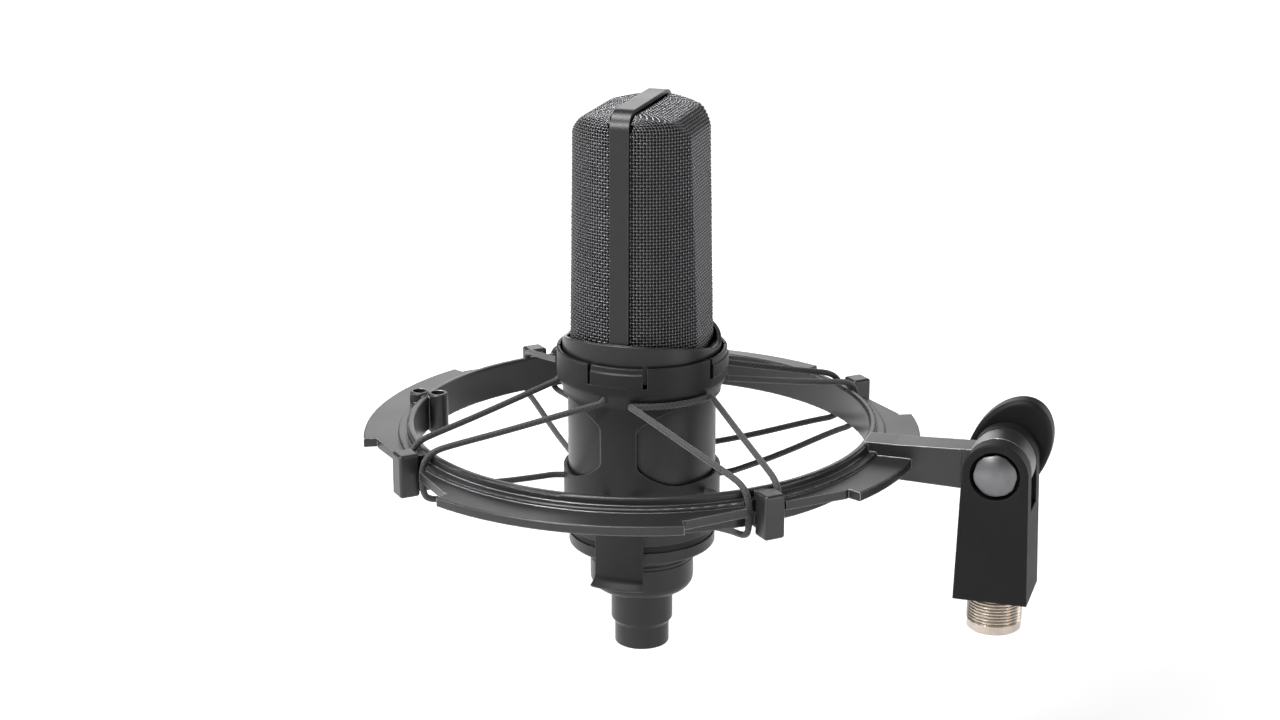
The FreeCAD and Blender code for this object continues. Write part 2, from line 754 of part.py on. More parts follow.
def make_connector_insert():
    disc = rod_z(barrel_bore_radius, pin_insert_face_z, barrel_root_z - 1)
    disc = disc.makeFillet(0.4, [e for e in disc.Edges if abs(e.CenterOfMass.z - pin_insert_face_z) < 1e-3
                                 and e.BoundBox.ZLength < 1e-3])
    for x, y in pin_places():
        disc = disc.cut(rod_z(pin_radius, -full, full, x, y))
    return disc


def make_connector_pins():
    pins = []
    for x, y in pin_places():
        pin = rod_z(pin_radius, pin_tip_z, pin_root_z, x, y)
        tip = [e for e in pin.Edges if abs(e.CenterOfMass.z - pin_tip_z) < 1e-3 and e.BoundBox.ZLength < 1e-3]
        pins.append(pin.makeFillet(pin_radius * 0.7, tip))
    return Part.makeCompound(pins)


def grille_form(inset):
    """The grille's closed outer form, drawn in by a distance."""
    foot = grille_seat_z
    top = grille_top_z - inset
    rounded = turned([(0, foot, 0), (grille_foot_radius - inset, foot, 0),
                      (grille_mid_radius - inset, grille_mid_z, 60.0),
                      (grille_top_radius - inset, grille_shoulder_z, 0),
                      (grille_top_radius - inset - 0.1, top, grille_roll - inset * 0.6), (0, top, 0)])
    facets = slab_y([(-facet_foot_x + inset, foot - 1, 0), (facet_foot_x - inset, foot - 1, 0),
                     (facet_top_x - inset, facet_shoulder_z - inset, 3.5),
                     (roof_edge_x - inset, roof_edge_z - inset, 3.5), (0, top + 0.01, 12.0),
                     (-roof_edge_x + inset, roof_edge_z - inset, 3.5),
                     (-facet_top_x + inset, facet_shoulder_z - inset, 3.5)], -full, full)
    return rounded.common(facets)


def make_grille_mesh():
    hollow = grille_form(mesh_thickness).fuse(rod_z(facet_foot_x - mesh_thickness, grille_seat_z - 1, grille_seat_z))
    return grille_form(0).cut(hollow).cut(strap_slab(-0.02))


def make_inner_screen():
    inset = mesh_thickness + screen_gap
    outer = grille_form(inset)
    below = box(-full, full, -full, full, -full, grille_seat_z + seat_ring_height)
    return outer.cut(grille_form(inset + screen_thickness)).cut(below)


def strap_slab(lift):
    """The strap's path over the grille as a flat slab along X, from the outside in."""
    half = strap_width / 2
    foot = grille_seat_z

    def arch(grow):
        r0 = grille_foot_radius + grow
        r1 = grille_top_radius + grow
        top = grille_top_z + grow
        roll = grille_roll + grow
        return slab_x([(-r0, foot, 0), (r0, foot, 0), (grille_mid_radius + grow, grille_mid_z, 60.0),
                       (r1 - 0.1, top, roll), (-r1 + 0.1, top, roll),
                       (-grille_mid_radius - grow, grille_mid_z, 60.0)], -half, half)

    band = arch(strap_thickness).common(rod_z(grille_seat_radius - 0.05 - lift, -full, full))
    band = band.cut(arch(-mesh_thickness * 0.5 + lift))
    return band.cut(box(-full, full, -grille_foot_radius + 2, grille_foot_radius - 2, foot - 1, foot + 1))


def make_seat_ring():
    """The ring inside the body's top that the grille stands on, with a spigot up inside the mesh."""
    flat = tube_z(body_radius - body_wall, seat_ring_bore, grille_seat_z - seat_ring_thickness, grille_seat_z)
    spigot_inner = grille_form(mesh_thickness + spigot_thickness)
    spigot = grille_form(mesh_thickness).cut(spigot_inner)
    spigot = spigot.common(rod_z(full, grille_seat_z, grille_seat_z + seat_ring_height))
    shelf = rod_z(grille_seat_radius - 0.05, grille_seat_z, band_dip_z - shelf_below_dip)
    half = strap_width / 2 + 0.05
    shelf = shelf.cut(grille_form(-0.05)).cut(box(-half, half, -full, full, -full, full))
    return screw_holes(flat.fuse(shelf).fuse(spigot).removeSplitter())


def make_capsule_ring():
    half = capsule_thickness / 2
    ring = rod_x(capsule_radius, -half, half, 0, capsule_z)
    ring = ring.makeFillet(0.8, [e for e in ring.Edges if e.BoundBox.XLength < 1e-3])
    pocket = diaphragm_inset + diaphragm_thickness
    ring = ring.cut(rod_x(capsule_bore_radius, half - pocket, half + 1, 0, capsule_z))
    return ring.cut(rod_x(capsule_bore_radius, -half - 1, -half + pocket, 0, capsule_z))


def make_diaphragm(side):
    half = capsule_thickness / 2
    outer = side * (half - diaphragm_inset)
    inner = side * (half - diaphragm_inset - diaphragm_thickness)
    return rod_x(capsule_bore_radius - 0.05, min(outer, inner), max(outer, inner), 0, capsule_z)


def make_capsule_saddle():
    """The cradle under the capsule, cut to its rim."""
    low = capsule_z - capsule_radius - saddle_height + saddle_wrap
    block = slab_x([(-saddle_width / 2 - 5, low + saddle_height, 1), (-saddle_width / 2, low, 1.5),
                    (saddle_width / 2, low, 1.5), (saddle_width / 2 + 5, low + saddle_height, 1)],
                   -saddle_depth / 2, saddle_depth / 2)
    return block.cut(rod_x(capsule_radius, -full, full, 0, capsule_z))


def make_capsule_post():
    """The post from the chassis head to the saddle."""
    top = capsule_z - capsule_radius - saddle_height + saddle_wrap
    base = grille_seat_z - seat_ring_thickness
    flare = rod_z(seat_ring_bore - 0.1, base, base + seat_ring_thickness)
    return rod_z(post_radius, base, top).fuse(flare).cut(
        rod_z(post_radius - 2, base - 1, top - 3))


def make_chassis():
    """Two rails between a head plate under the grille seat and a foot plate above the tail."""
    head_top = grille_seat_z - seat_ring_thickness
    head = rod_z(body_radius - chassis_head_in, head_top - chassis_plate, head_top)
    foot = rod_z(body_radius - chassis_foot_in, rail_bottom_z, rail_bottom_z + chassis_plate)
    frame = head.cut(rod_z(4.0, -full, full)).fuse(foot.cut(rod_z(5.0, -full, full)))
    y0 = board_width / 2 - rail_width - 1
    for side in (-1, 1):
        y = side * (y0 - rail_width / 2 + 1)
        rail = box(-rail_thickness - board_thickness / 2, -board_thickness / 2, min(y - 2, y + 2),
                   max(y - 2, y + 2), rail_bottom_z + chassis_plate, head_top - chassis_plate)
        frame = frame.fuse(rail)
    return screw_holes(frame.removeSplitter())


def make_circuit_board():
    return box(-board_thickness / 2, board_thickness / 2, -board_width / 2, board_width / 2,
               board_bottom_z, board_top_z)


def make_board_components():
    """Capacitors, a transistor row and a transformer block on the front of the board."""
    face = board_thickness / 2
    pieces = []
    for y, z, r, h in ((-9, 10, 3.0, 7.0), (0, 10, 3.0, 7.0), (9, 9, 4.0, 8.0), (-9, -3, 2.5, 6.0), (9, -5, 2.5, 6.0)):
        pieces.append(rod_x(r, face, face + h, y, z))
    for y in (-3, 1, 5):
        pieces.append(box(face, face + 2.5, y - 1.2, y + 1.2, -4.0, 0.0))
    pieces.append(box(face, face + 10, -8, 8, -28, -14))
    return Part.makeCompound(pieces)


def make_switch(side):
    """A recessed slide switch's button, at the lower end of its slot."""
    low = switch_z - nub_height / 2
    nub = box(body_radius - 4.5, body_radius + nub_proud, -nub_width / 2, nub_width / 2, low, low + nub_height)
    tops = [e for e in nub.Edges if abs(e.CenterOfMass.x - body_radius - nub_proud) < 1e-3]
    nub = nub.makeFillet(0.5, tops)
    return spun(nub, 180 + side * switch_angle)


def make_switch_cases():
    cases = []
    for side in (-1, 1):
        outer = body_radius - 4.5 - 0.4
        case = box(outer - switch_case_depth, outer, -3, 3, switch_z - 4, switch_z + 7)
        cases.append(spun(case, 180 + side * switch_angle))
    return Part.makeCompound(cases)


def make_chassis_screws():
    """Four pan-head screws that hold the seat ring down on the chassis head."""
    screws = []
    top = grille_seat_z
    for angle in screw_angles:
        place = polar(screw_circle, angle)
        shank = rod_z(screw_radius, top - seat_ring_thickness - chassis_plate, top, place.x, place.y)
        head = rod_z(screw_head_radius, top, top + screw_head_height, place.x, place.y)
        head = head.makeFillet(0.5, [e for e in head.Edges if e.CenterOfMass.z > top + screw_head_height - 1e-3
                                     and e.BoundBox.ZLength < 1e-3])
        screws.append(shank.fuse(head).removeSplitter())
    return Part.makeCompound(screws)


def screw_holes(shape):
    for angle in screw_angles:
        place = polar(screw_circle, angle)
        shape = shape.cut(rod_z(screw_radius, -full, full, place.x, place.y))
    return shape


paths = {lug: loop_path(lug) for lug in lug_angles}
fat_cords = [make_cord(path, cord_radius + cord_clearance) for path in paths.values()]

write("clevis", make_clevis(), False)
write("thread_bush", make_thread_bush(), False)
write("pivot_bolt", make_pivot_bolt(), False)
write("friction_washers", make_friction_washers(), False)
write("knob_washer", make_knob_washer(), False)
write("clamp_knob", make_clamp_knob(), False)
write("knob_insert", make_knob_insert(), False)
write("suspension_ring", make_suspension_ring())
write("pivot_bush", make_pivot_bush())
for name, lug in zip(("front_right", "front_left", "back_left", "back_right"), lug_angles):
    write("elastic_loop_" + name, make_cord(paths[lug], cord_radius))
write("cradle_sleeve", make_cradle_sleeve(fat_cords))
write("release_tongue", make_tongue())
write("grip_pads", make_grip_pads())
write("body_shell", make_body_shell())
write("base_seam_ring", make_base_seam())
write("base_ring", make_base_ring())
write("tail_cup", make_tail_cup())
write("connector_barrel", make_connector_barrel())
write("connector_insert", make_connector_insert())
write("connector_pins", make_connector_pins())
write("grille_mesh", make_grille_mesh())
write("inner_screen", make_inner_screen())
write("grille_strap", strap_slab(0))
write("grille_seat_ring", make_seat_ring())
write("capsule_ring", make_capsule_ring())
write("diaphragm_front", make_diaphragm(1))
write("diaphragm_rear", make_diaphragm(-1))
write("capsule_saddle", make_capsule_saddle())
write("capsule_post", make_capsule_post())
write("chassis_frame", make_chassis())
write("circuit_board", make_circuit_board())
write("board_components", make_board_components())
write("pad_switch", make_switch(1))
write("filter_switch", make_switch(-1))
write("switch_cases", make_switch_cases())
write("chassis_screws", make_chassis_screws())
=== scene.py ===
import math
import bpy
import numpy as np
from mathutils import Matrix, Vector


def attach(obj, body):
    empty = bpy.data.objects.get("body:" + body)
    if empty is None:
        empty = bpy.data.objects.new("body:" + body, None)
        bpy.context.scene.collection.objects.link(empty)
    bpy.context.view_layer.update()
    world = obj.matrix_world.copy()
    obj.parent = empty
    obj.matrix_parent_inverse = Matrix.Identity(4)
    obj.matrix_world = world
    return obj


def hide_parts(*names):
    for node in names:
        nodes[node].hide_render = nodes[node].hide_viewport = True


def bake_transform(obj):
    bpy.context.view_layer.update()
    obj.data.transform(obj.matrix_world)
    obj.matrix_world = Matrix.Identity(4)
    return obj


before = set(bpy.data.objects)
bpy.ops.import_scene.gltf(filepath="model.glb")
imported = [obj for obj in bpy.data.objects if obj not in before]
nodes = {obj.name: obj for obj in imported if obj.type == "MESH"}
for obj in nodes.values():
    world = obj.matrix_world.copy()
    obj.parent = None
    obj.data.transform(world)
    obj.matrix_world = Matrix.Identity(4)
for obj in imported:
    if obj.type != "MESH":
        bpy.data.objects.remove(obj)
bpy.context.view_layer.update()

mm = 0.001

# the microphone's axis and the top of the suspension ring's wall, in metres
micAxisX = -0.1212
rimHeight = 0.0604


# depths and sizes that several finishes share
grainDepth = 0.25        # of the grain's own width
turnedEdgeMm = 0.15
toolMarkMm = 0.02
plaitDepthMm = 0.12


# sRGB hex to linear colour with alpha
def toLinear(hexColour):
    channels = [int(hexColour[i:i + 2], 16) / 255 for i in (1, 3, 5)]
    linear = [c / 12.92 if c <= 0.04045 else ((c + 0.055) / 1.055) ** 2.4 for c in channels]
    return (*linear, 1.0)


# one node with its settings; a link's key is an input and its value another node's output
def addNode(tree, kind, settings=None, links=None):
    node = tree.nodes.new(kind)
    for key, value in (settings or {}).items():
        if isinstance(key, str) and hasattr(node, key):
            setattr(node, key, value)
        else:
            node.inputs[key].default_value = value
    for key, value in (links or {}).items():
        tree.links.new(value, node.inputs[key])
    return node


def newMaterial(name):
    material = bpy.data.materials.new(name)
    material.use_nodes = True
    tree = material.node_tree
    shader = tree.nodes["Principled BSDF"]
    coords = addNode(tree, "ShaderNodeTexCoord")
    inMm = addNode(tree, "ShaderNodeMapping", {"Scale": (1000, 1000, 1000)},
                   {"Vector": coords.outputs["Object"]})
    return material, tree, shader, inMm.outputs["Vector"]


# joins the worked-out colour, roughness and normal to the shader
def dress(tree, shader, colour, bump, rough=None):
    tree.links.new(colour.outputs[2], shader.inputs["Base Color"])
    tree.links.new(bump.outputs["Normal"], shader.inputs["Normal"])
    if rough:
        tree.links.new(rough.outputs["Result"], shader.inputs["Roughness"])


# colour between two sRGB values, by the factor
def mixedColour(tree, low, high, factor):
    return addNode(tree, "ShaderNodeMix", {"data_type": "RGBA", 6: toLinear(low), 7: toLinear(high)},
                   {0: factor})


def noise(tree, inMm, featureMm, detail):
    return addNode(tree, "ShaderNodeTexNoise", {"Scale": 1 / featureMm, "Detail": detail}, {"Vector": inMm})


# the input's 0 to 1 drawn between two values
def between(tree, value, low, high):
    return addNode(tree, "ShaderNodeMapRange", {"To Min": low, "To Max": high}, {"Value": value})


# a grained, slightly mottled surface whose edges are painted brighter: painted highlight, partly wear
def coatedFinish(name, look):
    material, tree, shader, inMm = newMaterial(name)
    bevel = addNode(tree, "ShaderNodeBevel", {"samples": 4, "Radius": look["edgeMm"] * mm})
    trueNormal = addNode(tree, "ShaderNodeNewGeometry")
    facing = addNode(tree, "ShaderNodeVectorMath", {"operation": "DOT_PRODUCT"},
                     {0: bevel.outputs["Normal"], 1: trueNormal.outputs["Normal"]})
    # where the bevelled normal turns from the true one, at the edges, the colour is painted lighter: a
    # painted highlight along the edges, with some wear
    edge = addNode(tree, "ShaderNodeMapRange",
                   {"From Min": 0.995, "From Max": 0.8, "To Min": 0.0, "To Max": look["edgeSheenAndWear"]},
                   {"Value": facing.outputs["Value"]})
    patch = noise(tree, inMm, look["mottleMm"], 3.0)
    body = mixedColour(tree, look["hex"], look["mottleHex"], patch.outputs["Fac"])
    sheenAndWear = addNode(tree, "ShaderNodeMix", {"data_type": "RGBA", 7: toLinear(look["edgeSheenAndWearHex"])},
                   {0: edge.outputs["Result"], 6: body.outputs[2]})
    grain = noise(tree, inMm, look["grainMm"], 2.0)
    rough = between(tree, patch.outputs["Fac"], look["roughness"] - 0.05, look["roughness"] + 0.07)
    bump = addNode(tree, "ShaderNodeBump",
                   {"Strength": look["grainStrength"], "Distance": look["grainMm"] * grainDepth * mm},
                   {"Height": grain.outputs["Fac"], "Normal": bevel.outputs["Normal"]})
    shader.inputs["Metallic"].default_value = look["metallic"]
    shader.inputs["Specular IOR Level"].default_value = look["shine"]
    dress(tree, shader, sheenAndWear, bump, rough)
    return material


# bare metal with fine tool rings about its own axis
def turnedMetal(name, look):
    material, tree, shader, inMm = newMaterial(name)
    bevel = addNode(tree, "ShaderNodeBevel", {"samples": 4, "Radius": turnedEdgeMm * mm})
    centred = addNode(tree, "ShaderNodeVectorMath", {"operation": "SUBTRACT", 1: look["centreMm"]},
                      {0: inMm})
    rings = addNode(tree, "ShaderNodeTexWave",
                    {"wave_type": "RINGS", "rings_direction": look["axis"], "Scale": look["ringScale"],
                     "Distortion": 0.6, "Detail": 2.0}, {"Vector": centred.outputs["Vector"]})
    patch = addNode(tree, "ShaderNodeTexNoise", {"Scale": 0.35, "Detail": 4.0}, {"Vector": inMm})
    colour = mixedColour(tree, look["hex"], look["stainHex"], patch.outputs["Fac"])
    rough = between(tree, patch.outputs["Fac"], look["roughness"] - 0.06, look["roughness"] + 0.08)
    bump = addNode(tree, "ShaderNodeBump", {"Strength": 0.25, "Distance": toolMarkMm * mm},
                   {"Height": rings.outputs["Fac"], "Normal": bevel.outputs["Normal"]})
    shader.inputs["Metallic"].default_value = 1.0
    dress(tree, shader, colour, bump, rough)
    return material


# drawn wire, blackened, with a painted highlight on the crown of each crossing
def wireFinish(name, look):
    material, tree, shader, inMm = newMaterial(name)
    crown = addNode(tree, "ShaderNodeAttribute", {"attribute_name": "crown"})
    patch = noise(tree, inMm, look["patchMm"], 3.0)
    # the crowns' painted highlight, a little stronger or weaker by patches
    glintStrength = between(tree, patch.outputs["Fac"], 0.75, 1.0)
    paintedGlint = addNode(tree, "ShaderNodeMath", {"operation": "MULTIPLY"},
                     {0: crown.outputs["Fac"], 1: glintStrength.outputs["Result"]})
    colour = mixedColour(tree, look["hex"], look.get("crownGlintHex", look["hex"]), paintedGlint.outputs["Value"])
    drawn = addNode(tree, "ShaderNodeTexNoise", {"Scale": 2.5, "Detail": 2.0}, {"Vector": inMm})
    bump = addNode(tree, "ShaderNodeBump", {"Strength": 0.15, "Distance": toolMarkMm * mm},
                   {"Height": drawn.outputs["Fac"]})
    rough = between(tree, patch.outputs["Fac"], look["roughness"], look["roughness"] + 0.15)
    shader.inputs["Metallic"].default_value = look["metallic"]
    dress(tree, shader, colour, bump, rough)
    return material


# polyester braid over rubber: two sets of strands crossing on the slant
def braidFinish(name, look):
    material, tree, shader, inMm = newMaterial(name)
    uv = addNode(tree, "ShaderNodeUVMap", {"uv_map": "cordUv"})
    split = addNode(tree, "ShaderNodeSeparateXYZ", {}, {"Vector": uv.outputs["UV"]})
    turns = addNode(tree, "ShaderNodeMath",
                    {"operation": "MULTIPLY", 1: look["strandsRound"] * 2 * math.pi},
                    {0: split.outputs["X"]})
    along = addNode(tree, "ShaderNodeMath", {"operation": "MULTIPLY", 1: 2 * math.pi / look["pickMm"]},
                    {0: split.outputs["Y"]})
    waves = []
    for operation in ("ADD", "SUBTRACT"):
        angle = addNode(tree, "ShaderNodeMath", {"operation": operation},
                        {0: turns.outputs["Value"], 1: along.outputs["Value"]})
        waves.append(addNode(tree, "ShaderNodeMath", {"operation": "SINE"}, {0: angle.outputs["Value"]}))
    plait = addNode(tree, "ShaderNodeMath", {"operation": "MAXIMUM"},
                    {0: waves[0].outputs["Value"], 1: waves[1].outputs["Value"]})
    lift = addNode(tree, "ShaderNodeMapRange", {"From Min": -1.0, "From Max": 1.0},
                   {"Value": plait.outputs["Value"]})
    # the low parts between strands are painted darker: painted shade in the gaps
    colour = mixedColour(tree, look["gapShadeHex"], look["hex"], lift.outputs["Result"])
    bump = addNode(tree, "ShaderNodeBump", {"Strength": 0.6, "Distance": plaitDepthMm * mm},
                   {"Height": lift.outputs["Result"]})
    shader.inputs["Roughness"].default_value = look["roughness"]
    shader.inputs["Sheen Weight"].default_value = 0.25
    shader.inputs["Sheen Roughness"].default_value = 0.5
    dress(tree, shader, colour, bump)
    return material


finishes = {
    # zinc casting under a fine wrinkle powder coat: nearly black, no clear reflections, sandy grain
    "powderCoatedZinc": coatedFinish("powderCoatedZinc", {
        "hex": "#101011", "mottleHex": "#151516", "edgeSheenAndWearHex": "#3a3a3c", "edgeSheenAndWear": 0.5, "edgeMm": 0.5,
        "roughness": 0.6, "shine": 0.18, "metallic": 0.0, "grainMm": 0.32, "grainStrength": 0.55,
        "mottleMm": 14.0}),
    # die-cast ring under satin lacquer: grey where it faces up, with thin bright lines along its edges that
    # are painted highlight
    "satinLacqueredCasting": coatedFinish("satinLacqueredCasting", {
        "hex": "#2c2c2d", "mottleHex": "#343435", "edgeSheenAndWearHex": "#b8b8ba", "edgeSheenAndWear": 0.8, "edgeMm": 0.5,
        "roughness": 0.34, "shine": 0.6, "metallic": 0.5, "grainMm": 0.55, "grainStrength": 0.25,
        "mottleMm": 22.0}),
    # brass tube under satin lacquer: soft broad highlights with very fine orange peel
    "satinLacqueredBrass": coatedFinish("satinLacqueredBrass", {
        "hex": "#1b1b1c", "mottleHex": "#212122", "edgeSheenAndWearHex": "#6a6a6d", "edgeSheenAndWear": 0.5, "edgeMm": 0.35,
        "roughness": 0.36, "shine": 0.5, "metallic": 0.3, "grainMm": 0.4, "grainStrength": 0.2,
        "mottleMm": 18.0}),
    # glass-filled nylon, moulded: satin with faint flow marks
    "mouldedNylon": coatedFinish("mouldedNylon", {
        "hex": "#151516", "mottleHex": "#1b1b1c", "edgeSheenAndWearHex": "#6c6c6f", "edgeSheenAndWear": 0.6, "edgeMm": 0.35,
        "roughness": 0.42, "shine": 0.25, "metallic": 0.0, "grainMm": 0.5, "grainStrength": 0.25,
        "mottleMm": 12.0}),
    # ABS thumb paddle, moulded with a fine spark texture: flat black with a thin bright rim painted on as
    # highlight
    "sparkTexturedAbs": coatedFinish("sparkTexturedAbs", {
        "hex": "#0e0e0f", "mottleHex": "#131314", "edgeSheenAndWearHex": "#3c3c3e", "edgeSheenAndWear": 0.5, "edgeMm": 0.4,
        "roughness": 0.5, "shine": 0.2, "metallic": 0.0, "grainMm": 0.22, "grainStrength": 0.4,
        "mottleMm": 10.0}),
    # blackened steel: a dark shadow line between the lacquered parts
    "blackenedSteel": coatedFinish("blackenedSteel", {
        "hex": "#161617", "mottleHex": "#1d1d1e", "edgeSheenAndWearHex": "#4a4a4c", "edgeSheenAndWear": 0.4, "edgeMm": 0.2,
        "roughness": 0.45, "shine": 0.4, "metallic": 0.6, "grainMm": 0.3, "grainStrength": 0.2,
        "mottleMm": 8.0}),
    # natural rubber pads: dull and slightly dusty
    "mattRubber": coatedFinish("mattRubber", {
        "hex": "#161616", "mottleHex": "#1e1e1e", "edgeSheenAndWearHex": "#2a2a2a", "edgeSheenAndWear": 0.3, "edgeMm": 0.2,
        "roughness": 0.8, "shine": 0.2, "metallic": 0.0, "grainMm": 0.3, "grainStrength": 0.3,
        "mottleMm": 6.0}),
    # vulcanised fibre washers: dark brown paper-like board
    "vulcanisedFibre": coatedFinish("vulcanisedFibre", {
        "hex": "#2a2019", "mottleHex": "#352a21", "edgeSheenAndWearHex": "#54463a", "edgeSheenAndWear": 0.4, "edgeMm": 0.15,
        "roughness": 0.7, "shine": 0.3, "metallic": 0.0, "grainMm": 0.4, "grainStrength": 0.3,
        "mottleMm": 5.0}),
    # acetal bush: milky white and waxy
    "naturalAcetal": coatedFinish("naturalAcetal", {
        "hex": "#d9d6cb", "mottleHex": "#e2dfd5", "edgeSheenAndWearHex": "#efece4", "edgeSheenAndWear": 0.3, "edgeMm": 0.2,
        "roughness": 0.38, "shine": 0.4, "metallic": 0.0, "grainMm": 0.6, "grainStrength": 0.1,
        "mottleMm": 9.0}),
    # phenolic insulator: black-brown, dense and smooth
    "mouldedPhenolic": coatedFinish("mouldedPhenolic", {
        "hex": "#232122", "mottleHex": "#2b2829", "edgeSheenAndWearHex": "#4d4a4a", "edgeSheenAndWear": 0.35, "edgeMm": 0.2,
        "roughness": 0.45, "shine": 0.4, "metallic": 0.0, "grainMm": 0.4, "grainStrength": 0.2,
        "mottleMm": 7.0}),
    # passivated zinc sheet: pale grey with soft cloudy spangle
    "passivatedZinc": coatedFinish("passivatedZinc", {
        "hex": "#8f9294", "mottleHex": "#a6a9aa", "edgeSheenAndWearHex": "#c4c6c7", "edgeSheenAndWear": 0.5, "edgeMm": 0.2,
        "roughness": 0.4, "shine": 0.5, "metallic": 0.9, "grainMm": 0.6, "grainStrength": 0.2,
        "mottleMm": 3.0}),
    # glass-epoxy board under green solder resist: glossy with a faint glass weave
    "solderResist": coatedFinish("solderResist", {
        "hex": "#12402a", "mottleHex": "#174d33", "edgeSheenAndWearHex": "#8f8a5c", "edgeSheenAndWear": 0.6, "edgeMm": 0.2,
        "roughness": 0.3, "shine": 0.5, "metallic": 0.0, "grainMm": 0.7, "grainStrength": 0.2,
        "mottleMm": 4.0}),
    # epoxy-dipped components: dark, glossy, rounded at the edges
    "dippedEpoxy": coatedFinish("dippedEpoxy", {
        "hex": "#26282c", "mottleHex": "#2f3237", "edgeSheenAndWearHex": "#5a5d63", "edgeSheenAndWear": 0.3, "edgeMm": 0.4,
        "roughness": 0.28, "shine": 0.5, "metallic": 0.0, "grainMm": 0.8, "grainStrength": 0.15,
        "mottleMm": 5.0}),
    # nickel over brass, threaded bush: warm silver, tool rings across the light
    "nickelPlatedBrass": turnedMetal("nickelPlatedBrass", {
        "hex": "#c9bfb4", "stainHex": "#a99c90", "roughness": 0.3, "centreMm": (0, 0, 0), "axis": "Z",
        "ringScale": 1.6}),
    # domed zinc-plated bolt head: brushed round its centre, grey with a bright rim
    "platedBoltSteel": turnedMetal("platedBoltSteel", {
        "hex": "#7a7a7b", "stainHex": "#6a6a6c", "roughness": 0.34, "centreMm": (0, 0, 56.0), "axis": "Y",
        "ringScale": 2.2}),
    # turned brass insert and capsule ring: yellow, slightly dulled
    "turnedBrass": turnedMetal("turnedBrass", {
        "hex": "#b08d4c", "stainHex": "#94733a", "roughness": 0.32, "centreMm": (-121.2, 0, 134.4),
        "axis": "X", "ringScale": 1.8}),
    # plain steel washers and screws
    "plainSteel": turnedMetal("plainSteel", {
        "hex": "#9d9d9f", "stainHex": "#838386", "roughness": 0.35, "centreMm": (0, 0, 56.0), "axis": "Y",
        "ringScale": 2.0}),
    # gold sputtered on polyester film: a soft yellow mirror
    "goldFilm": turnedMetal("goldFilm", {
        "hex": "#d6ad5c", "stainHex": "#c79b4b", "roughness": 0.2, "centreMm": (-121.2, 0, 134.4),
        "axis": "X", "ringScale": 0.7}),
    # blackened nickel grille wire: dark, with a small painted highlight on every crossing
    "grilleWire": wireFinish("grilleWire", {
        "hex": "#1a1a1c", "crownGlintHex": "#868688", "roughness": 0.28, "metallic": 0.9, "patchMm": 9.0}),
    # fine inner screen behind the grille: almost black, partly its own dark tone and partly painted shade
    # for the dark inside seen through the fine mesh, with no painted crown highlights
    "innerScreen": wireFinish("innerScreen", {
        "hex": "#070708", "roughness": 0.5, "metallic": 0.3, "patchMm": 1.2}),
    # braided elastic: matt black with a plaited relief and painted shade in the gaps between strands
    "braidedElastic": braidFinish("braidedElastic", {
        "hex": "#2b2b2c", "gapShadeHex": "#101010", "roughness": 0.65, "strandsRound": 4, "pickMm": 1.6}),
}

finishNodes = {
    "powderCoatedZinc": ("clevis",),
    "nickelPlatedBrass": ("thread_bush", "connector_pins"),
    "platedBoltSteel": ("pivot_bolt",),
    "vulcanisedFibre": ("friction_washers",),
    "plainSteel": ("knob_washer", "chassis_screws"),
    "sparkTexturedAbs": ("clamp_knob",),
    "turnedBrass": ("knob_insert", "capsule_ring"),
    "satinLacqueredCasting": ("suspension_ring",),
    "naturalAcetal": ("pivot_bush",),
    "mouldedNylon": ("cradle_sleeve", "release_tongue"),
    "mattRubber": ("grip_pads", "elastic_loop_front_right", "elastic_loop_front_left",
        "elastic_loop_back_left", "elastic_loop_back_right"),
    "satinLacqueredBrass": ("body_shell", "base_ring", "tail_cup", "connector_barrel",
        "grille_strap", "grille_seat_ring"),
    "blackenedSteel": ("base_seam_ring",),
    "mouldedPhenolic": ("connector_insert", "capsule_saddle", "capsule_post", "pad_switch",
        "filter_switch", "switch_cases"),
    "grilleWire": ("grille_mesh",),
    "innerScreen": ("inner_screen",),
    "goldFilm": ("diaphragm_front", "diaphragm_rear"),
    "passivatedZinc": ("chassis_frame",),
    "solderResist": ("circuit_board",),
    "dippedEpoxy": ("board_components",),
}
finished = 0
for finishName, nodeNames in finishNodes.items():
    for nodeName in nodeNames:
        data = nodes[nodeName].data
        data.materials.clear()
        data.materials.append(finishes[finishName])
        finished += 1
print("finishes on", finished, "CAD nodes")


# vertices and quads of one tube along the points, open at its ends; the normals fix its twist
def tubeGrid(points, normals, radius, sides):
    tangents = np.gradient(points, axis=0)
    tangents /= np.linalg.norm(tangents, axis=1, keepdims=True)
    up = normals - tangents * np.sum(normals * tangents, axis=1, keepdims=True)
    up /= np.linalg.norm(up, axis=1, keepdims=True)
    side = np.cross(tangents, up)
    turn = np.arange(sides) * 2 * math.pi / sides
    ringPoints = (points[:, None, :] + radius * (np.cos(turn)[None, :, None] * up[:, None, :]
                                                 + np.sin(turn)[None, :, None] * side[:, None, :]))
    count = len(points)
    i, j = np.meshgrid(np.arange(count - 1), np.arange(sides), indexing="ij")
    nextJ = (j + 1) % sides
    quads = np.stack([i * sides + j, i * sides + nextJ, (i + 1) * sides + nextJ, (i + 1) * sides + j],
                     axis=-1)
    return ringPoints.reshape(-1, 3), quads.reshape(-1, 4)


# one mesh object from many tubes, with end caps
def meshFromTubes(name, tubes, sides):
    vertices = []
    faces = []
    start = 0
    crowns = []
    for points, quads, crown in tubes:
        vertices.append(points)
        crowns.append(np.repeat(crown, sides))
        faces.extend((quads + start).tolist())
        faces.append([start + k for k in reversed(range(sides))])
        faces.append([start + len(points) - sides + k for k in range(sides)])
        start += len(points)
    data = bpy.data.meshes.new(name)
    data.from_pydata(np.concatenate(vertices).tolist(), [], faces)
    data.polygons.foreach_set("use_smooth", [True] * len(data.polygons))
    data.attributes.new("crown", "FLOAT", "POINT").data.foreach_set("value", np.concatenate(crowns))
    data.update()
    piece = bpy.data.objects.new(name, data)
    bpy.context.scene.collection.objects.link(piece)
    return piece


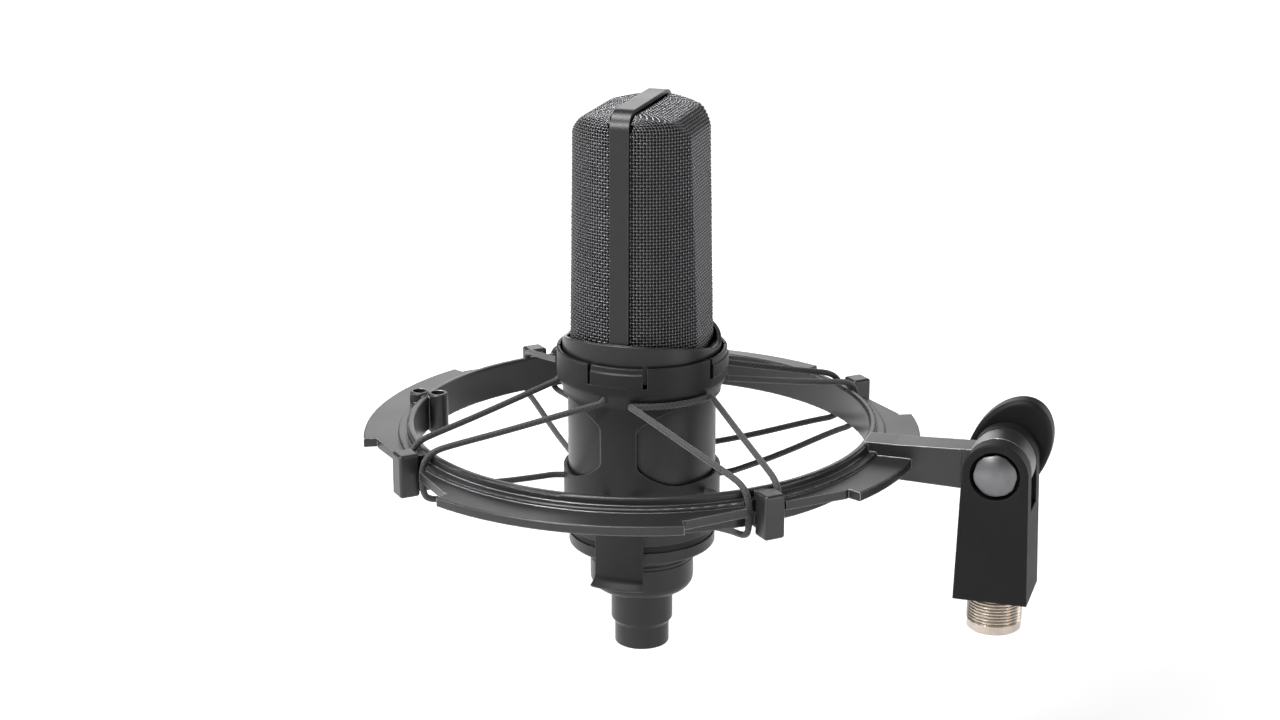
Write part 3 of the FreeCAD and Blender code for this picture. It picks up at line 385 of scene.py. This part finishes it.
grille = {
    "pitchMm": 1.05,         # wire spacing both ways
    "wireMm": 0.42,
    "insetMm": 0.46,         # middle of the weave inside the outer form
    "sides": 5,
    "strapEdgeMm": 3.3,      # where the wires meet the strap
    "footMm": 22.3, "middleMm": 60.0, "rollStartMm": 101.0, "topMm": 107.0,
    "stepMm": 0.02,          # spacing of the heights at which the form is worked out
    "arcSteps": 24,          # points round each corner of the outlines
    # (radius, height, corner radius) of the round form, then the same of the facets, by half depth
    "round": [(24.1, 22.0, 0), (23.6, 60.0, 60.0), (23.2, 96.0, 0), (23.1, 107.0, 6.0), (0, 107.0, 0)],
    "facets": [(22.4, 21.0, 0), (20.2, 99.5, 3.5), (16.0, 104.2, 3.5), (0, 107.0, 12.0), (-16.0, 104.2, 0)],
}


# points along a polyline whose corners are rounded, drawn in by the inset
def roundedOutline(corners, inset):
    spots = [np.array([max(r - inset, 0) if r > 0 else r + inset * (r < 0), z - inset * (z > 90)])
             for r, z, _ in corners]
    out = [spots[0]]
    for before, here, after, (_, _, radius) in zip(spots, spots[1:], spots[2:], corners[1:]):
        back = (before - here) / np.linalg.norm(before - here)
        ahead = (after - here) / np.linalg.norm(after - here)
        half = math.acos(np.clip(np.dot(back, ahead), -1, 1)) / 2
        if radius <= 0 or math.pi / 2 - half < 1e-4:
            out.append(here)
            continue
        reach = radius / math.tan(half)
        for t in np.linspace(0, 1, grille["arcSteps"]):
            a = here + back * reach * (1 - t)
            b = here + ahead * reach * t
            out.append(a * (1 - t) + b * t)
    out.append(spots[-1])
    return np.array(out)


def outlineAt(outline, heights):
    rising = np.concatenate([[True], np.diff(np.maximum.accumulate(outline[:, 1])) > 1e-9])
    kept = outline[rising & (outline[:, 0] >= -1e-6)]
    return np.interp(heights, kept[:, 1], kept[:, 0], right=0.0)


# crossing points of the wires on the +X half, by wire and by row, with a mask of those that exist
def weaveGrid():
    inset = grille["insetMm"]
    heights = np.arange(grille["footMm"], grille["topMm"] - inset, grille["stepMm"])
    radii = outlineAt(roundedOutline(grille["round"], inset), heights)
    depths = outlineAt(roundedOutline(grille["facets"], inset), heights)
    middle = grille["middleMm"]
    middleRadius = np.interp(middle, heights, radii)
    facetHalf = math.sqrt(middleRadius ** 2 - np.interp(middle, heights, depths) ** 2)
    facetAngle = math.asin(facetHalf / middleRadius)
    lastAngle = math.acos((grille["strapEdgeMm"] + 0.1) / middleRadius)
    spread = facetHalf + middleRadius * (lastAngle - facetAngle)
    half = round(spread / grille["pitchMm"])
    wires = []
    for k in range(-half, half + 1):
        reach = abs(k) * spread / half
        angle = math.asin(reach / middleRadius) if reach < facetHalf else (
            facetAngle + (reach - facetHalf) / middleRadius)
        sideways = radii[np.searchsorted(heights, grille["rollStartMm"])] * math.sin(angle)
        across = np.where(heights < grille["rollStartMm"], radii * math.sin(angle), sideways)
        out = np.minimum(np.sqrt(np.maximum(radii ** 2 - across ** 2, 0)), depths)
        inside = out > grille["strapEdgeMm"] - 0.02
        path = np.stack([out, math.copysign(1, k) * across, heights], axis=1)[inside]
        length = np.concatenate([[0], np.cumsum(np.linalg.norm(np.diff(path, axis=0), axis=1))])
        marks = np.arange(0, length[-1], grille["pitchMm"])
        wires.append(np.stack([np.interp(marks, length, path[:, a]) for a in range(3)], axis=1))
    rows = max(len(w) for w in wires)
    points = np.zeros((len(wires), rows, 3))
    there = np.zeros((len(wires), rows), bool)
    for k, wire in enumerate(wires):
        count = len(wire)
        points[k, :count] = wire
        there[k, :count] = True
        step = wire[-1] - wire[-2]
        for extra in range(count, rows):
            points[k, extra] = points[k, extra - 1] + step
    return points, there


# tubes along axis 1 of the grid, over and under by turns
def wovenTubes(points, normals, there, firstSign, side):
    tubes = []
    lift = grille["wireMm"] / 2
    for k in range(points.shape[0]):
        spots = np.flatnonzero(there[k])
        if len(spots) < 2:
            continue
        line = points[k, spots]
        out = normals[k, spots]
        sign = firstSign * np.where((spots + k) % 2 == 0, 1.0, -1.0)
        raised = line + out * (lift * sign)[:, None]
        dense = np.empty((2 * len(spots) - 1, 3))
        dense[::2] = raised
        dense[1::2] = (line[:-1] + line[1:]) / 2
        denseOut = np.empty_like(dense)
        denseOut[::2] = out
        denseOut[1::2] = out[:-1] + out[1:]
        place = np.array([side, 1, 1])
        metres = dense * place * mm + np.array([micAxisX, 0, rimHeight])
        vertices, quads = tubeGrid(metres, denseOut * place, grille["wireMm"] / 2 * mm, grille["sides"])
        # crown sets the painted highlight: full on raised crossings, some at the midpoints, none on sunk
        # crossings
        crown = np.full(len(dense), 0.35)
        crown[::2] = np.where(sign > 0, 1.0, 0.0)
        tubes.append((vertices, quads, crown))
    return tubes


gridPoints, gridThere = weaveGrid()
alongRows = np.gradient(gridPoints, axis=1)
acrossWires = np.gradient(gridPoints, axis=0)
gridNormals = np.cross(acrossWires, alongRows)
gridNormals /= np.linalg.norm(gridNormals, axis=2, keepdims=True)
for side, sideName in ((1, "front"), (-1, "back")):
    upright = wovenTubes(gridPoints, gridNormals, gridThere, 1, side)
    level = wovenTubes(gridPoints.transpose(1, 0, 2), gridNormals.transpose(1, 0, 2), gridThere.T, -1, side)
    for tubes, kindName in ((upright, "upright"), (level, "level")):
        piece = meshFromTubes("grille_" + kindName + "_wires_" + sideName, tubes, grille["sides"])
        piece.data.materials.append(finishes["grilleWire"])
        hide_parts("grille_mesh")
        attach(piece, "microphone")
        print(piece.name, len(piece.data.polygons), "faces")


elastic = {
    "diameterMm": 2.1,
    "sides": 14,
    "outsideMm": 81.9,       # from the microphone's axis where a strand passes down by its lug
    "sideMm": 5.4,
    "sleeveMm": 26.4, "collarMm": 28.4,
    "lowerHoleMm": -20.9, "upperHoleMm": 12.75,
    "holeByXDeg": 19.5, "holeByYDeg": 9.0,
    "insideRunMm": (26.05, 16.0),      # radius and height of the run in the cradle's pocket
    "outsideRunMm": (28.15, 12.35),
    # (outward, sideways, height) by the lug, from under the wall to over the rim
    "underRimMm": (72.0, 6.6, -14.9), "turnUpMm": (79.8, 5.5, -14.55),
    "turnInMm": (78.6, 5.7, 1.75), "overRimMm": (70.0, 6.9, 3.4),
    "besideLugMm": (-11.6, -2.6),      # heights between which a strand runs straight down the lug
    # how far a strand starts inside the sleeve and runs straight out of it, and how much it sags
    "startInsideMm": 1.1, "straightOutMm": 3.0, "exitRiseMm": 0.3,
    "lowerSags": ((0.12, 0.35), (0.5, 0.9)),    # (share of the run, drop in mm)
    "upperSags": ((0.3, 0.25), (0.93, 0.0)),
    "insideCollarMm": 0.2,
    "curvePoints": 10,
    # along the lug's direction, where the loop's ring end and its cradle end lie
    "ringEndMm": 74.0, "cradleEndMm": 32.0,
}


def polar(radius, degrees, height):
    a = math.radians(degrees)
    return Vector((radius * math.cos(a), radius * math.sin(a), height))


# a place given along the lug's direction, across it and up
def byLug(lug, out, sideways, height):
    a = math.radians(lug)
    return Vector((out * math.cos(a) - sideways * math.sin(a),
                   out * math.sin(a) + sideways * math.cos(a), height))


# from the lower hole, out under the wall, up beside the lug, over the rim and in to the upper hole
def strandPoints(lug, hole):
    side = math.copysign(1.0, hole - lug)
    low = elastic["lowerHoleMm"]
    lowerStart = polar(elastic["sleeveMm"] - elastic["startInsideMm"], hole, low)
    lowerEdge = polar(elastic["sleeveMm"] + elastic["straightOutMm"], hole, low + elastic["exitRiseMm"])
    upperHole = polar(elastic["collarMm"] - elastic["insideCollarMm"], hole, elastic["upperHoleMm"])
    spots = (elastic[key] for key in ("underRimMm", "turnUpMm", "turnInMm", "overRimMm"))
    underRim, turnUp, turnIn, overRim = (byLug(lug, out, side * sideways, height)
                                         for out, sideways, height in spots)
    beside = [byLug(lug, elastic["outsideMm"], side * elastic["sideMm"], height)
              for height in elastic["besideLugMm"]]
    lowerRun, upperRun = ([start + (end - start) * share - Vector((0, 0, drop)) for share, drop in sags]
                          for start, end, sags in ((lowerEdge, underRim, elastic["lowerSags"]),
                                                   (overRim, upperHole, elastic["upperSags"])))
    return [lowerStart, lowerEdge, *lowerRun, underRim, turnUp, *beside, turnIn, overRim, *upperRun,
            upperHole]


def loopPoints(lug):
    byX = 0.0 if abs(lug) < 90 else math.copysign(180.0, lug)
    byY = math.copysign(90.0, lug)
    towardLug = math.copysign(1.0, lug - byX)
    firstHole = byX + towardLug * elastic["holeByXDeg"]
    secondHole = byY - towardLug * elastic["holeByYDeg"]
    radius, height = elastic["outsideRunMm"] if lug == -45.0 else elastic["insideRunMm"]
    run = [polar(radius, firstHole + (secondHole - firstHole) * i / 6, height) for i in range(7)]
    first = strandPoints(lug, firstHole)
    second = list(reversed(strandPoints(lug, secondHole)))
    if lug == -45.0:
        return first[:-1] + run + second[1:]
    return first + run + second


# the route's NURBS line as points, with the corners as its control points
def smoothLine(name, corners):
    curve = bpy.data.curves.new(name, "CURVE")
    curve.dimensions = "3D"
    curve.resolution_u = elastic["curvePoints"]
    spline = curve.splines.new("NURBS")
    spline.points.add(len(corners) - 1)
    for point, corner in zip(spline.points, corners):
        point.co = (*corner, 1.0)
    spline.order_u = 3
    spline.use_endpoint_u = True
    holder = bpy.data.objects.new(name, curve)
    bpy.context.scene.collection.objects.link(holder)
    bpy.context.view_layer.update()
    line = bpy.data.meshes.new_from_object(holder)
    points = np.array([v.co for v in line.vertices])
    bpy.data.objects.remove(holder)
    bpy.data.curves.remove(curve)
    bpy.data.meshes.remove(line)
    return points


# normals carried along the line without twist
def carriedNormals(points):
    tangents = np.gradient(points, axis=0)
    tangents /= np.linalg.norm(tangents, axis=1, keepdims=True)
    normal = np.cross(tangents[0], [0, 0, 1.0])
    out = []
    for tangent in tangents:
        normal = normal - tangent * np.dot(normal, tangent)
        normal /= np.linalg.norm(normal)
        out.append(normal)
    return np.array(out)


for lug, loopName in ((-45.0, "front_right"), (-135.0, "front_left"), (135.0, "back_left"),
                      (45.0, "back_right")):
    corners = [Vector((p.x * mm + micAxisX, p.y * mm, p.z * mm + rimHeight)) for p in loopPoints(lug)]
    line = smoothLine("route_" + loopName, corners)
    radius = elastic["diameterMm"] / 2 * mm
    tube = tubeGrid(line, carriedNormals(line), radius, elastic["sides"])
    piece = meshFromTubes("elastic_" + loopName, [(*tube, np.zeros(len(line)))], elastic["sides"])
    lengths = np.concatenate([[0], np.cumsum(np.linalg.norm(np.diff(line, axis=0), axis=1))]) / mm
    layer = piece.data.uv_layers.new(name="cordUv")
    sides = elastic["sides"]
    for polygon in piece.data.polygons:
        seam = {piece.data.loops[i].vertex_index % sides for i in polygon.loop_indices} == {0, sides - 1}
        for i in polygon.loop_indices:
            vertex = piece.data.loops[i].vertex_index
            turn = (vertex % sides) / sides
            layer.data[i].uv = (1.0 if seam and turn == 0 else turn, lengths[vertex // sides])
    piece.data.materials.append(finishes["braidedElastic"])
    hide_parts("elastic_loop_" + loopName)
    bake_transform(piece)
print("elastic loops made")


studio = {
    "floorMm": -160.0,       # well below the part, which hangs from its stand thread
    "floorReach": 8.0,       # metres each way
    "floorHex": "#c4c4c4",
    # the paper is lit from behind, less under the lamps than far off, so all of it stays pale
    "nearGlow": 0.35, "farGlow": 1.0, "nearReach": 0.2, "farReach": 0.9,
    # surroundings: pale near the horizon, dim above it, so dark parts stay dark
    "worldHex": "#ffffff", "horizonGlow": 0.95, "skyGlow": 0.1, "horizonTop": 0.1, "skyStart": 0.22,
    # place, target, size in metres, power in watts
    "lights": [
        ("overhead", (-0.33, -0.1, 0.95), (-0.12, 0, 0.08), 0.42, 8.5),
        ("keyFront", (-0.5, -0.8, 0.75), (-0.12, 0, 0.12), 0.22, 9.5),
        ("keyLeft", (-1.0, -0.3, 0.5), (-0.12, 0, 0.08), 0.3, 4.5),
        ("lowRight", (0.95, -0.35, 0.1), (-0.08, 0, 0.04), 0.3, 2.5),
        ("backRim", (-0.5, 1.1, 0.38), (-0.1, 0, 0.05), 0.7, 2.4),
        ("backRight", (0.7, 0.8, 0.35), (-0.05, 0, 0.04), 0.5, 2.4),
    ],
}
floorData = bpy.data.meshes.new("studioFloor")
reach = studio["floorReach"]
floorZ = studio["floorMm"] * mm
floorData.from_pydata([(-reach, -reach, floorZ), (reach, -reach, floorZ), (reach, reach, floorZ),
                       (-reach, reach, floorZ)], [], [(0, 1, 2, 3)])
floor = bpy.data.objects.new("studioFloor", floorData)
bpy.context.scene.collection.objects.link(floor)
floorPaper = bpy.data.materials.new("seamlessPaper")
floorPaper.use_nodes = True
paperShader = floorPaper.node_tree.nodes["Principled BSDF"]
paperShader.inputs["Base Color"].default_value = toLinear(studio["floorHex"])
paperShader.inputs["Roughness"].default_value = 0.9
paperShader.inputs["Emission Color"].default_value = (1, 1, 1, 1)
paperTree = floorPaper.node_tree
paperPlace = addNode(paperTree, "ShaderNodeTexCoord")
paperReach = addNode(paperTree, "ShaderNodeVectorMath", {"operation": "LENGTH"},
                     {0: paperPlace.outputs["Object"]})
paperGlow = addNode(paperTree, "ShaderNodeMapRange", {
    "interpolation_type": "SMOOTHSTEP", "From Min": studio["nearReach"], "From Max": studio["farReach"],
    "To Min": studio["nearGlow"], "To Max": studio["farGlow"]}, {"Value": paperReach.outputs["Value"]})
paperTree.links.new(paperGlow.outputs["Result"], paperShader.inputs["Emission Strength"])
floorData.materials.append(floorPaper)

world = bpy.data.worlds.new("studio")
world.use_nodes = True
world.node_tree.nodes["Background"].inputs["Color"].default_value = toLinear(studio["worldHex"])
worldTree = world.node_tree
worldPlace = addNode(worldTree, "ShaderNodeTexCoord")
worldHeight = addNode(worldTree, "ShaderNodeSeparateXYZ", {}, {"Vector": worldPlace.outputs["Generated"]})
worldGlow = addNode(worldTree, "ShaderNodeMapRange", {
    "interpolation_type": "SMOOTHSTEP", "From Min": studio["horizonTop"], "From Max": studio["skyStart"],
    "To Min": studio["horizonGlow"], "To Max": studio["skyGlow"]}, {"Value": worldHeight.outputs["Z"]})
worldTree.links.new(worldGlow.outputs["Result"], worldTree.nodes["Background"].inputs["Strength"])
bpy.context.scene.world = world
for lightName, place, target, size, power in studio["lights"]:
    lamp = bpy.data.lights.new(lightName, "AREA")
    lamp.shape = "DISK"
    lamp.size = size
    lamp.energy = power
    holder = bpy.data.objects.new(lightName, lamp)
    holder.location = place
    holder.rotation_euler = (Vector(target) - Vector(place)).to_track_quat("-Z", "Y").to_euler()
    bpy.context.scene.collection.objects.link(holder)

view = {
    "lensMm": 67.5, "sensorMm": 36.0, "shift": -0.0014,
    "place": (0.1096, -0.7277, 0.3192), "downDeg": 17.405, "turnDeg": 17.6,
}
lens = bpy.data.cameras.new("viewpoint")
lens.lens = view["lensMm"]
lens.sensor_width = view["sensorMm"]
lens.shift_x = view["shift"]
lens.dof.use_dof = False
viewpoint = bpy.data.objects.new("viewpoint", lens)
viewpoint.location = view["place"]
viewpoint.rotation_euler = (math.radians(90 - view["downDeg"]), 0, math.radians(view["turnDeg"]))
bpy.context.scene.collection.objects.link(viewpoint)
bpy.context.scene.camera = viewpoint
bpy.context.scene.view_settings.view_transform = "Standard"  # plain contrast, so the paper reads white
print("floor, lights and camera set")
